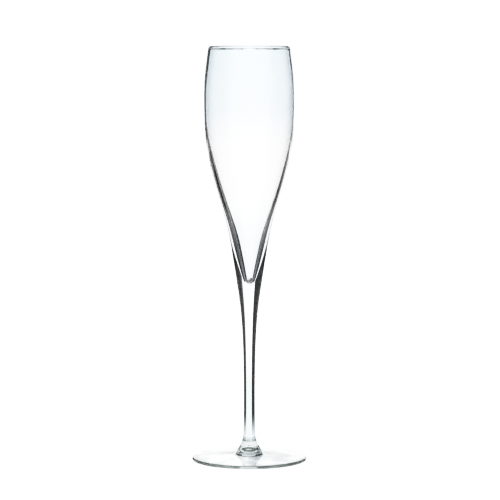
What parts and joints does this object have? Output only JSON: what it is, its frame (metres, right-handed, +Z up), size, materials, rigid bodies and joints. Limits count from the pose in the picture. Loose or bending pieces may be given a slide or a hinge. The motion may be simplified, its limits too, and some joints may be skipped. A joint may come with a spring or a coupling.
{
  "type": "champagne flute",
  "caption": "Tall stemmed champagne flute of clear glass: slim tapering bowl with a beaded lip, drawn solid stem and a round pressed foot.",
  "frame": {"origin": "on the table, under the axis of the glass, at the plane of the foot's contact ring", "axes": "+Z up along the axis of revolution, from the foot to the rim; X and Y are any two horizontal directions, because the glass is round"},
  "size_m": [0.068, 0.068, 0.245],
  "materials": {
    "bowl_glass": "polished clear glass",
    "stem_glass": "polished clear glass",
    "foot_glass": "polished clear glass, faintly green at the edge"
  },
  "bodies": {
    "root": {"bowl": "bowl_glass", "stem": "stem_glass", "foot": "foot_glass"}
  },
  "joints": []
}
